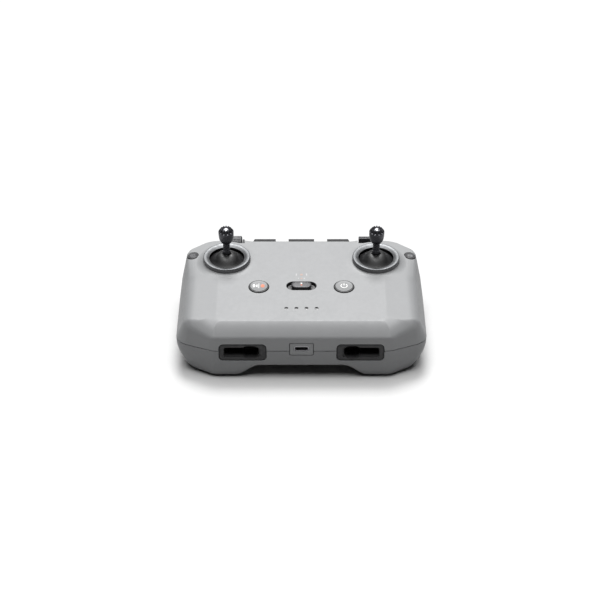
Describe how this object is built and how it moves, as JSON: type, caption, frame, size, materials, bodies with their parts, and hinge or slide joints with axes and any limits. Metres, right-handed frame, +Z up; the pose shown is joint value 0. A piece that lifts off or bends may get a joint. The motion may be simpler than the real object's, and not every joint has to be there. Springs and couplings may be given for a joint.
{
  "type": "radio transmitter controller",
  "caption": "Compact two-stick drone transmitter with buttons, mode switch, dial, stick pockets and a sliding phone holder at the rear.",
  "frame": {"origin": "on the surface that the grips rest on, under the middle of the object's box with the phone holder closed", "axes": "+X to the user's right, +Y away from the user towards the phone holder, +Z up"},
  "size_m": [0.1548, 0.1042, 0.0652],
  "materials": {
    "shell": "fine matt grain, light grey",
    "button": "smooth satin, light grey",
    "dark_plastic": "matt black",
    "graphite": "satin dark graphite",
    "dome": "soft black",
    "rubber": "matt black rubber",
    "ring": "satin silver, bevelled",
    "steel": "brushed",
    "cell": "shrink-wrapped cell",
    "board": "green solder mask",
    "light_guide": "smoked clear"
  },
  "bodies": {
    "root": {"top_cover": "shell", "bottom_cover": "shell", "left_gimbal_housing": "dark_plastic", "right_gimbal_housing": "dark_plastic", "left_trim_ring": "ring", "right_trim_ring": "ring", "left_pitch_spring": "steel", "left_roll_spring": "steel", "right_pitch_spring": "steel", "right_roll_spring": "steel", "left_pitch_sensor": "dark_plastic", "left_roll_sensor": "dark_plastic", "right_pitch_sensor": "dark_plastic", "right_roll_sensor": "dark_plastic", "left_stick_storage": "rubber", "right_stick_storage": "rubber", "left_battery_cell": "cell", "right_battery_cell": "cell", "left_holder_guide": "dark_plastic", "right_holder_guide": "dark_plastic", "mode_switch_tray": "dark_plastic", "led_light_guide": "light_guide", "dial_axle": "steel", "dial_fork": "dark_plastic", "usb_surround": "shell", "usb_socket": "steel", "main_board": "board", "case_screw_1": "steel", "case_screw_2": "steel", "case_screw_3": "steel", "case_screw_4": "steel", "rear_grip_pad": "rubber"},
    "left_yoke": {"left_gimbal_yoke": "dark_plastic"},
    "left_arm": {"left_cross_arm": "dark_plastic"},
    "left_post": {"left_stick_post": "steel", "left_dust_dome": "dome"},
    "left_stick": {"left_stick_stem": "graphite", "left_stick_head": "graphite"},
    "right_yoke": {"right_gimbal_yoke": "dark_plastic"},
    "right_arm": {"right_cross_arm": "dark_plastic"},
    "right_post": {"right_stick_post": "steel", "right_dust_dome": "dome"},
    "right_stick": {"right_stick_stem": "graphite", "right_stick_head": "graphite"},
    "home": {"home_button": "button"},
    "power": {"power_button": "button"},
    "function": {"function_button": "button"},
    "photo": {"photo_button": "button"},
    "shutter": {"shutter_button": "graphite"},
    "mode": {"mode_slider": "graphite"},
    "dial": {"gimbal_dial": "graphite"},
    "holder": {"holder_jaw": "shell", "jaw_cover": "shell", "antenna_board": "board", "jaw_grip_pad": "rubber", "left_holder_rail": "steel", "right_holder_rail": "steel"}
  },
  "joints": [
    {"name": "left_pitch", "type": "hinge", "parent": "root", "child": "left_yoke", "pos_m": [-0.0475, 0.0204, 0.0281], "axis": [1, 0, 0], "range_deg": [-18, 18], "stiffness_Nm_per_rad": 0.02},
    {"name": "left_roll", "type": "hinge", "parent": "left_yoke", "child": "left_post", "pos_m": [-0.0475, 0.0204, 0.0281], "axis": [0, 0.9979, 0.0649], "range_deg": [-18, 18], "stiffness_Nm_per_rad": 0.02},
    {"name": "left_arm_roll", "type": "hinge", "parent": "root", "child": "left_arm", "pos_m": [-0.0475, 0.0204, 0.0281], "axis": [0, 0.9979, 0.0649], "range_deg": [-19, 19]},
    {"name": "left_unscrew", "type": "slide", "parent": "left_post", "child": "left_stick", "axis": [0, -0.0649, 0.9979], "range_m": [0, 0.006]},
    {"name": "right_pitch", "type": "hinge", "parent": "root", "child": "right_yoke", "pos_m": [0.0475, 0.0204, 0.0281], "axis": [1, 0, 0], "range_deg": [-18, 18], "stiffness_Nm_per_rad": 0.02},
    {"name": "right_roll", "type": "hinge", "parent": "right_yoke", "child": "right_post", "pos_m": [0.0475, 0.0204, 0.0281], "axis": [0, 0.9979, 0.0649], "range_deg": [-18, 18], "stiffness_Nm_per_rad": 0.02},
    {"name": "right_arm_roll", "type": "hinge", "parent": "root", "child": "right_arm", "pos_m": [0.0475, 0.0204, 0.0281], "axis": [0, 0.9979, 0.0649], "range_deg": [-19, 19]},
    {"name": "right_unscrew", "type": "slide", "parent": "right_post", "child": "right_stick", "axis": [0, -0.0649, 0.9979], "range_m": [0, 0.006]},
    {"name": "home_press", "type": "slide", "parent": "root", "child": "home", "axis": [0, 0.0649, -0.9979], "range_m": [0, 0.0007], "stiffness_N_per_m": 500},
    {"name": "power_press", "type": "slide", "parent": "root", "child": "power", "axis": [0, 0.0649, -0.9979], "range_m": [0, 0.0007], "stiffness_N_per_m": 500},
    {"name": "function_press", "type": "slide", "parent": "root", "child": "function", "axis": [0.1219, 0, -0.9925], "range_m": [0, 0.0006], "stiffness_N_per_m": 500},
    {"name": "photo_press", "type": "slide", "parent": "root", "child": "photo", "axis": [-0.1219, 0, -0.9925], "range_m": [0, 0.0006], "stiffness_N_per_m": 500},
    {"name": "shutter_press", "type": "slide", "parent": "root", "child": "shutter", "axis": [0, -1, 0], "range_m": [0, 0.0012], "stiffness_N_per_m": 500},
    {"name": "mode_slide", "type": "slide", "parent": "root", "child": "mode", "axis": [1, 0, 0], "range_m": [-0.003, 0.003]},
    {"name": "dial_turn", "type": "hinge", "parent": "root", "child": "dial", "pos_m": [-0.0436, 0.0441, 0.0364], "axis": [1, 0, 0], "range_deg": [-20, 20], "stiffness_Nm_per_rad": 0.02},
    {"name": "holder_slide", "type": "slide", "parent": "root", "child": "holder", "axis": [0, 1, 0], "range_m": [0, 0.074], "stiffness_N_per_m": 40, "springref_m": -0.02}
  ],
  "couplings": [
    {"joint": "left_arm_roll", "follows": "left_roll", "ratio": 1},
    {"joint": "right_arm_roll", "follows": "right_roll", "ratio": 1}
  ]
}
